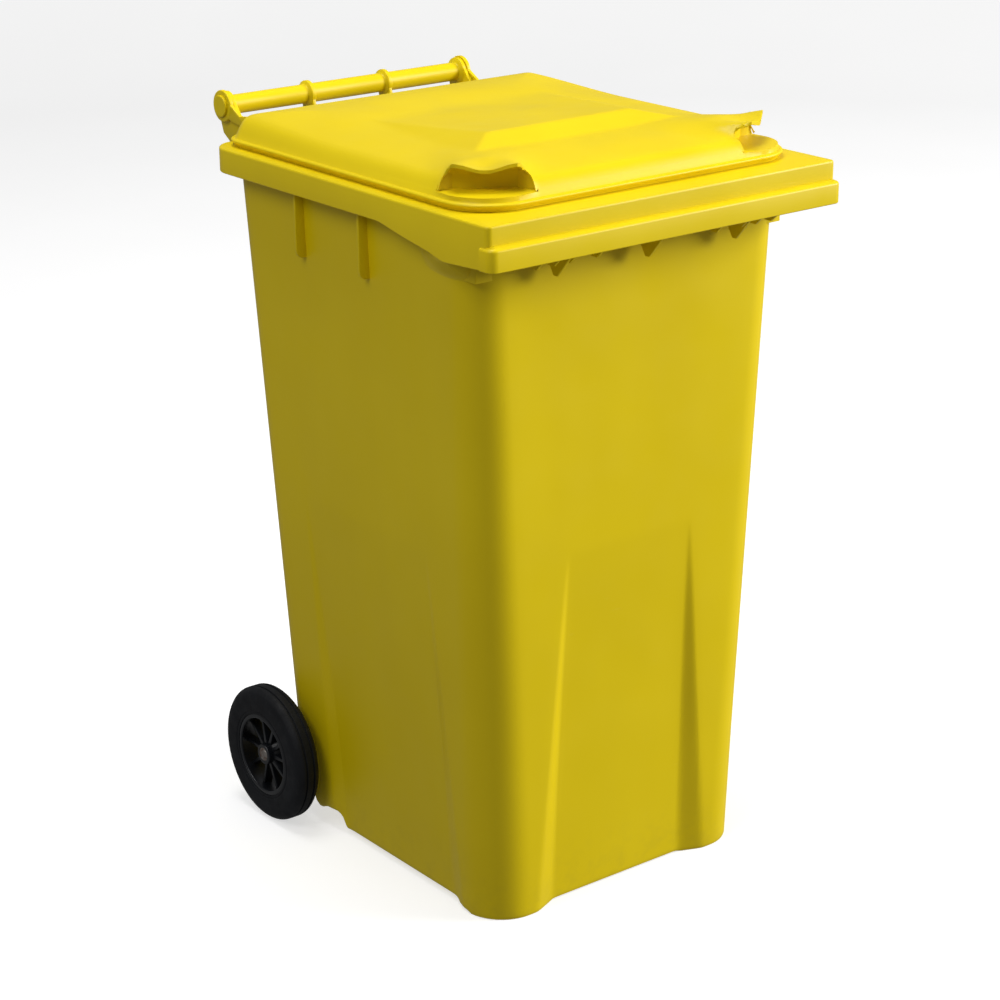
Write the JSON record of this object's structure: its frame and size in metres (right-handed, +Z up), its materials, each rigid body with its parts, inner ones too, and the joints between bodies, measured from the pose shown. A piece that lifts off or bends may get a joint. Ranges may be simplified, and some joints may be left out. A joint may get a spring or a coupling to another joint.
{
  "type": "wheelie bin",
  "caption": "Two-wheeled household waste bin with a hinged domed lid, comb lip for lifting, rear handle bar and rubber-tyred wheels.",
  "frame": {"origin": "middle of the bounding box's base, on the ground", "axes": "+Z up; -Y is the front with the comb lip, +Y is the rear with the handle and axle; X is the width"},
  "size_m": [0.578, 0.734, 1.042],
  "materials": {
    "bin_plastic": "satin moulded polyethylene",
    "wheel_plastic": "moulded",
    "tyre": "matt",
    "axle_steel": "zinc coated, dulled",
    "lock_steel": "bright",
    "chip_plastic": "moulded"
  },
  "bodies": {
    "bin": {"body": "bin_plastic", "axle": "axle_steel", "axle_washer_left": "wheel_plastic", "axle_washer_right": "wheel_plastic", "hinge_pin_left": "bin_plastic", "hinge_pin_right": "bin_plastic", "transponder": "chip_plastic", "transponder_plug": "wheel_plastic"},
    "lid": {"lid": "bin_plastic"},
    "wheel_left": {"tyre_left": "tyre", "wheel_rim_left": "wheel_plastic", "lock_cap_left": "wheel_plastic", "lock_spring_left": "lock_steel"},
    "wheel_right": {"tyre_right": "tyre", "wheel_rim_right": "wheel_plastic", "lock_cap_right": "wheel_plastic", "lock_spring_right": "lock_steel"},
    "lock_left": {"lock_pin_left": "lock_steel"},
    "lock_right": {"lock_pin_right": "lock_steel"}
  },
  "joints": [
    {"name": "lid_hinge", "type": "hinge", "parent": "bin", "child": "lid", "pos_m": [0, 0.345, 1.0145], "axis": [-1, 0, 0], "range_deg": [0, 270]},
    {"name": "wheel_left_spin", "type": "hinge", "parent": "bin", "child": "wheel_left", "pos_m": [-0.255, 0.1953, 0.1], "axis": [1, 0, 0], "continuous": true},
    {"name": "wheel_right_spin", "type": "hinge", "parent": "bin", "child": "wheel_right", "pos_m": [0.255, 0.1953, 0.1], "axis": [1, 0, 0], "continuous": true},
    {"name": "lock_left_slide", "type": "slide", "parent": "wheel_left", "child": "lock_left", "axis": [0, 0, 1], "range_m": [0, 0.003], "stiffness_N_per_m": 400, "springref_m": -0.003, "deforming": ["lock_spring_left"]},
    {"name": "lock_right_slide", "type": "slide", "parent": "wheel_right", "child": "lock_right", "axis": [0, 0, 1], "range_m": [0, 0.003], "stiffness_N_per_m": 400, "springref_m": -0.003, "deforming": ["lock_spring_right"]}
  ]
}
